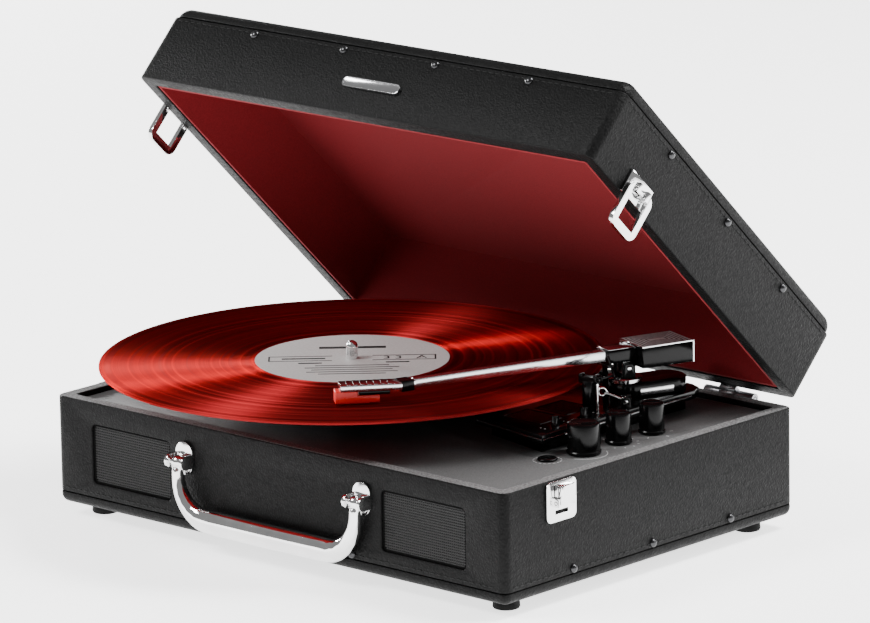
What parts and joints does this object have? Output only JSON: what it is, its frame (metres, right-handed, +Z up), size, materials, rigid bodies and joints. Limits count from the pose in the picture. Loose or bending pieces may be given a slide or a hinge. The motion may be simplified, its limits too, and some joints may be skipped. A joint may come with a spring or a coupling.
{
  "type": "suitcase record player",
  "caption": "Portable record player built into a hinged suitcase, with a belt-driven platter, a pivoted tonearm, front speakers, side latches and a carry handle.",
  "frame": {"origin": "centre of the underside of the case, above the feet", "axes": "+X to the right along the speaker face, +Y towards the hinges, +Z up"},
  "size_m": [0.3768, 0.3399, 0.2915],
  "materials": {
    "leatherette": "fine pebble grain, satin",
    "lining": "matt felt",
    "deck": "fine texture",
    "rubber": "matt",
    "chrome": "polished",
    "steel": "satin",
    "grille_mesh": "perforated, matt black",
    "speaker_cone": "matt",
    "silver": "satin",
    "red_vinyl": "grooved, glossy",
    "red_plastic": "glossy",
    "circuit_board": "solder mask",
    "black_plastic": "glossy"
  },
  "bodies": {
    "base": {"base_frame": "leatherette", "base_bottom_panel": "leatherette", "foot_front_left": "rubber", "foot_front_right": "rubber", "foot_back_left": "rubber", "foot_back_right": "rubber", "deck_panel": "deck", "speaker_grille_left": "grille_mesh", "speaker_grille_right": "grille_mesh", "speaker_left": "speaker_cone", "speaker_right": "speaker_cone", "handle_bracket_left": "chrome", "handle_bracket_right": "chrome", "catch_plate_left": "chrome", "catch_plate_right": "chrome", "hinge_leaf_base_left": "steel", "hinge_leaf_base_right": "steel", "hinge_pin_left": "steel", "hinge_pin_right": "steel", "bearing_housing": "steel", "motor": "steel", "drive_belt": "rubber", "circuit_board": "circuit_board", "headphone_socket": "black_plastic", "rear_socket_panel": "black_plastic", "arm_board": "black_plastic", "arm_rest_post": "black_plastic", "tonearm_base": "black_plastic"},
    "lid": {"lid_frame": "leatherette", "lid_top_panel": "leatherette", "lid_lining": "lining", "badge_bar": "silver", "hinge_leaf_lid_left": "steel", "hinge_leaf_lid_right": "steel", "latch_plate_left": "chrome", "latch_plate_right": "chrome"},
    "handle": {"carry_handle": "chrome"},
    "latch_left": {"latch_loop_left": "chrome"},
    "latch_right": {"latch_loop_right": "chrome"},
    "catch_left": {"catch_lever_left": "chrome"},
    "catch_right": {"catch_lever_right": "chrome"},
    "turntable": {"platter": "black_plastic", "slip_mat": "rubber", "record": "red_vinyl", "spindle": "chrome"},
    "pulley": {"motor_pulley": "steel"},
    "arm_yoke": {"tonearm_yoke": "black_plastic"},
    "tonearm": {"tonearm_tube": "silver", "counterweight": "black_plastic", "headshell": "silver", "cartridge": "black_plastic", "stylus_guard": "red_plastic"},
    "cue_lift": {"cue_lift": "black_plastic"},
    "cue_lever": {"cue_lever": "chrome"},
    "arm_clip": {"arm_clip": "black_plastic"},
    "volume_knob": {"volume_knob": "black_plastic"},
    "tone_knob": {"tone_knob": "black_plastic"},
    "function_knob": {"function_knob": "black_plastic"},
    "auto_stop_switch": {"auto_stop_switch": "black_plastic"},
    "speed_switch": {"speed_switch": "black_plastic"}
  },
  "joints": [
    {"name": "lid_hinge", "type": "hinge", "parent": "base", "child": "lid", "pos_m": [0, 0.1335, 0.064], "axis": [-1, 0, 0], "range_deg": [-18.4, 50]},
    {"name": "handle_swing", "type": "hinge", "parent": "base", "child": "handle", "pos_m": [0, -0.1345, 0.0443], "axis": [-1, 0, 0], "range_deg": [0, 180]},
    {"name": "latch_swing_left", "type": "hinge", "parent": "lid", "child": "latch_left", "pos_m": [-0.1849, -0.01241, 0.22084], "axis": [0, 0.7133, -0.7009], "range_deg": [0, 175]},
    {"name": "latch_swing_right", "type": "hinge", "parent": "lid", "child": "latch_right", "pos_m": [0.1849, -0.01241, 0.22084], "axis": [0, -0.7133, 0.7009], "range_deg": [0, 175]},
    {"name": "catch_lever_left", "type": "hinge", "parent": "base", "child": "catch_left", "pos_m": [-0.1849, -0.0805, 0.0534], "axis": [0, -1, 0], "range_deg": [0, 75]},
    {"name": "catch_lever_right", "type": "hinge", "parent": "base", "child": "catch_right", "pos_m": [0.1849, -0.0805, 0.0534], "axis": [0, 1, 0], "range_deg": [0, 75]},
    {"name": "turntable_spin", "type": "hinge", "parent": "base", "child": "turntable", "pos_m": [-0.0335, -0.024, 0.09], "axis": [0, 0, 1], "continuous": true},
    {"name": "pulley_spin", "type": "hinge", "parent": "base", "child": "pulley", "pos_m": [-0.07136, -0.07806, 0.075], "axis": [0, 0, 1], "continuous": true},
    {"name": "tonearm_swing", "type": "hinge", "parent": "base", "child": "arm_yoke", "pos_m": [0.1074, 0.0604, 0.09], "axis": [0, 0, -1], "range_deg": [-31.4, 16]},
    {"name": "tonearm_lift", "type": "hinge", "parent": "arm_yoke", "child": "tonearm", "pos_m": [0.1074, 0.0604, 0.092], "axis": [-0.9455, 0.3256, 0], "range_deg": [0, 5]},
    {"name": "cue_lift_rise", "type": "slide", "parent": "base", "child": "cue_lift", "axis": [0, 0, 1], "range_m": [0, 0.00113]},
    {"name": "cue_lever_turn", "type": "hinge", "parent": "base", "child": "cue_lever", "pos_m": [0.1295, 0.0365, 0.0797], "axis": [-0.682, 0.7314, 0], "range_deg": [0, 50]},
    {"name": "arm_clip_turn", "type": "hinge", "parent": "base", "child": "arm_clip", "pos_m": [0.1234, 0.01999, 0.09475], "axis": [-0.2147, 0.9767, 0], "range_deg": [-70, 0]},
    {"name": "volume_turn", "type": "hinge", "parent": "base", "child": "volume_knob", "pos_m": [0.148, -0.022, 0.07], "axis": [0, 0, 1], "range_deg": [-150, 150]},
    {"name": "tone_turn", "type": "hinge", "parent": "base", "child": "tone_knob", "pos_m": [0.148, 0.0085, 0.07], "axis": [0, 0, 1], "range_deg": [-150, 150]},
    {"name": "function_turn", "type": "hinge", "parent": "base", "child": "function_knob", "pos_m": [0.148, 0.038, 0.07], "axis": [0, 0, 1], "range_deg": [-60, 60]},
    {"name": "auto_stop_slide", "type": "slide", "parent": "base", "child": "auto_stop_switch", "axis": [0, 1, 0], "range_m": [0, 0.005]},
    {"name": "speed_slide", "type": "slide", "parent": "base", "child": "speed_switch", "axis": [0, 1, 0], "range_m": [-0.003, 0.003]}
  ],
  "couplings": [
    {"joint": "pulley_spin", "follows": "turntable_spin", "ratio": 9},
    {"joint": "tonearm_lift", "follows": "cue_lever_turn", "ratio": 0.1},
    {"joint": "cue_lift_rise", "follows": "cue_lever_turn", "m_per_rad": 0.001295}
  ]
}
